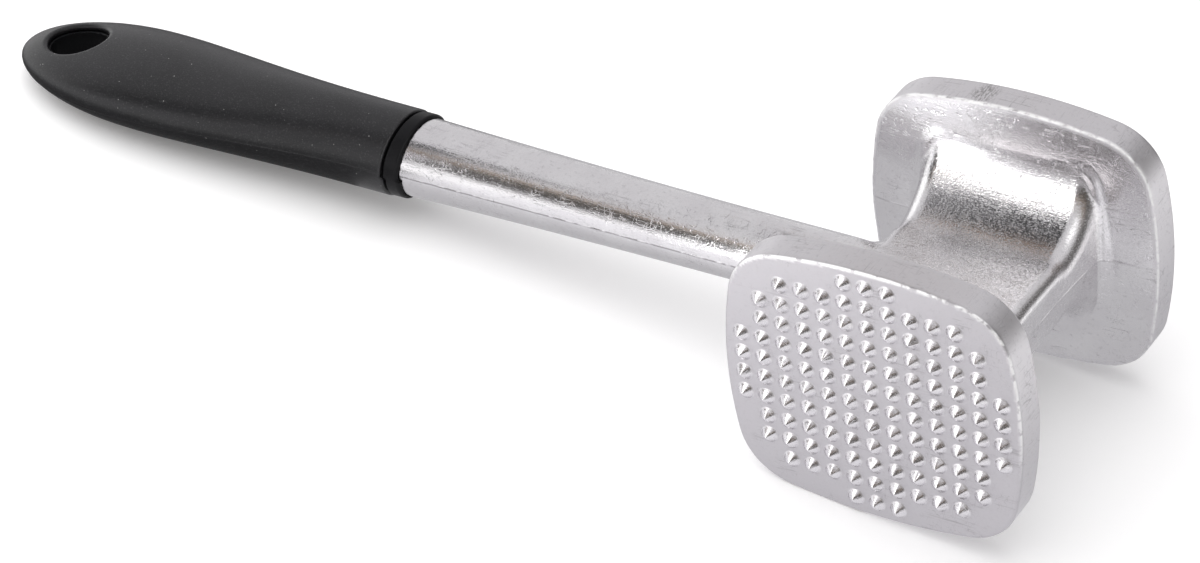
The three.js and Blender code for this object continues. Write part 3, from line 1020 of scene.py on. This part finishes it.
# ---- light ----
# colours of the studio, which has a softbox overhead, on the right
SOFTBOX = Vector((0.4, -0.28, 0.87)).normalized()
SOFTBOX_EDGE = (0.955, 0.975)  # cosines of the angles between which it fades
SOFTBOX_TONE = (1.5, 1.5, 1.5, 1)
STUDIO_TONE = (0.70, 0.69, 0.705, 1)
DARK_TONE = (0.08, 0.075, 0.07, 1)
BROWN_TONE = (0.42, 0.32, 0.24, 1)
LEFT_TONE = (1.3, 1.3, 1.3, 1)
# colours of the cards
BLACK = (0.03, 0.03, 0.03, 1)
BROWN = (0.30, 0.21, 0.15, 1)
CARD_LIGHT = (0.98, 0.97, 1.0, 1)
BACK_EDGE = (0.055, 0.03)  # a card's back edge begins and is whole this far from its end
FRONT_FADE = (-0.05, -0.005)  # along Y, where a card goes from its front glow to its glow


def build_world():
    """The studio: pale, dark low down in front and on the right, with a brown band between."""
    world = bpy.data.worlds.new("studio")
    world.use_nodes = True
    graph = Graph(world.node_tree)
    toward = graph.node("TexCoord").outputs["Generated"]
    parts = graph.node("SeparateXYZ", {0: toward})
    sideways = parts.outputs["X"]
    height = parts.outputs["Z"]
    front = graph.times(parts.outputs["Y"], -1.0)
    above_table = graph.span(height, 0.03, 0.12)
    before = graph.span(front, 0.1, 0.5)
    in_front = graph.times(before, graph.span(height, 0.44, 0.58, 1.0, 0.0))
    at_right = graph.times(graph.span(sideways, 0.02, 0.35), graph.span(height, 0.5, 0.74, 0.9, 0.0))
    dark = graph.times(above_table, graph.math("MAXIMUM", in_front, at_right))
    tone = graph.mix(dark, STUDIO_TONE, DARK_TONE)
    brown = graph.times(graph.span(height, 0.42, 0.48), graph.span(height, 0.52, 0.6, 1.0, 0.0))
    brown = graph.times(brown, before)
    tone = graph.mix(graph.times(brown, 0.8), tone, BROWN_TONE)
    left = graph.times(graph.span(sideways, -0.75, -0.85), graph.span(height, 0.5, 0.35))
    tone = graph.mix(left, tone, LEFT_TONE)
    facing = graph.node("VectorMath", {0: toward, 1: SOFTBOX}, operation="DOT_PRODUCT").outputs["Value"]
    tone = graph.mix(graph.span(facing, *SOFTBOX_EDGE), tone, SOFTBOX_TONE)
    light = graph.node("Background", {"Color": tone, "Strength": 1.0})
    graph.node("OutputWorld", {"Surface": light.outputs[0]})
    bpy.context.scene.world = world


def add_lamp(name, shape, place, aim, size, power):
    data = bpy.data.lights.new(name, "AREA")
    data.shape = shape
    data.size, data.size_y = size
    data.energy = power
    lamp = bpy.data.objects.new(name, data)
    bpy.context.scene.collection.objects.link(lamp)
    lamp.location = place
    lamp.rotation_euler = (Vector(aim) - Vector(place)).to_track_quat("-Z", "Y").to_euler()
    lamp.visible_camera = False
    return lamp


def add_card(name, low, high, glow=0.0, front_glow=None, back_edge=BLACK):
    """A card that only reflections see. Overhead or upright it is a flag or a light card, as photographers
    put beside polished metal; lying on the table it stands in for the table's shade as reflections see it,
    a painted shade. It is
    black and gives off its own light: glow, or front_glow in front of the head. Its back edge may have
    another colour."""
    mesh = bpy.data.meshes.new(name)
    points = [low, (high[0], low[1], low[2]), high, (low[0], high[1], high[2])]
    mesh.from_pydata(points, [], [(0, 1, 2, 3)])
    card = bpy.data.objects.new(name, mesh)
    bpy.context.scene.collection.objects.link(card)
    material, graph, shader = new_material(name + "_looks")
    depth = graph.node("SeparateXYZ", {0: graph.node("TexCoord").outputs["Object"]}).outputs["Y"]
    at_back = graph.span(depth, high[1] - BACK_EDGE[0], high[1] - BACK_EDGE[1])
    graph.tree.links.new(graph.mix(at_back, BLACK, back_edge), shader.inputs["Base Color"])
    shader.inputs["Specular IOR Level"].default_value = 0.0
    shader.inputs["Emission Color"].default_value = CARD_LIGHT
    if front_glow is None:
        shader.inputs["Emission Strength"].default_value = glow
    else:
        strength = graph.span(depth, *FRONT_FADE, front_glow, glow)
        graph.tree.links.new(strength, shader.inputs["Emission Strength"])
    mesh.materials.append(material)
    card.visible_camera = False
    card.visible_diffuse = False
    card.visible_shadow = False


build_world()
# one large soft lamp that gloss doesn't show, and a small light card beside the head that only gloss does
lamp = add_lamp("lamp", "ELLIPSE", (-0.42, -0.2, 1.35), (0.0, 0.0, 0), (2.4, 2.4), 19)
lamp.visible_glossy = False
card = add_lamp("card", "RECTANGLE", (0.034, -0.11, 0.09), (0.095, 0.02, 0.043), (0.052, 0.17), 0.075)
card.visible_diffuse = False
# overhead, then on the table, then upright before the grip
add_card("flag", (-0.04, -0.19, 0.2287), (0.045, 0.125, 0.2287), back_edge=BROWN)
# the cards on the table stand for the table in reflections, darker under and beside the mallet: painted
# shade
add_card("table_shade_card", (-0.04, -0.15, 0.0004), (0.185, 0.3, 0.0004), 0.54, front_glow=1.0)
add_card("grip_shade_card", (-0.15, -0.05, 0.0004), (-0.04, 0.08, 0.0004), 0.15)
add_card("back_shade_card", (-0.25, 0.08, 0.0004), (-0.04, 0.35, 0.0004), 0.4)
add_card("strip_card", (-0.25, -0.12, 0.015), (-0.1, -0.12, 0.08), 1.2)
add_card("black_card", (-0.3, -0.12, 0.08), (-0.125, -0.12, 0.24))


# ---- camera, at the photograph's viewing angle ----
AIM = Vector((0.03271, -0.02705, 0.025))
DISTANCE = 0.76408
AZIMUTH = math.radians(-59.265)
ELEVATION = math.radians(38.964)
ROLL = math.radians(-0.757)
SENSOR_WIDTH = 36.0
LENS = 119.52


def build_camera():
    data = bpy.data.cameras.new("camera")
    data.sensor_width = SENSOR_WIDTH
    data.lens = LENS
    data.clip_start = 0.01
    camera = bpy.data.objects.new("camera", data)
    bpy.context.scene.collection.objects.link(camera)
    level = math.cos(ELEVATION)
    away = Vector((level * math.cos(AZIMUTH), level * math.sin(AZIMUTH), math.sin(ELEVATION)))
    look = (-away).to_track_quat("-Z", "Y").to_matrix().to_4x4()
    place = Matrix.Translation(AIM + away * DISTANCE)
    camera.matrix_world = place @ look @ Matrix.Rotation(-ROLL, 4, "Z")
    bpy.context.scene.camera = camera


build_camera()
bpy.context.scene.view_settings.view_transform = "Standard"
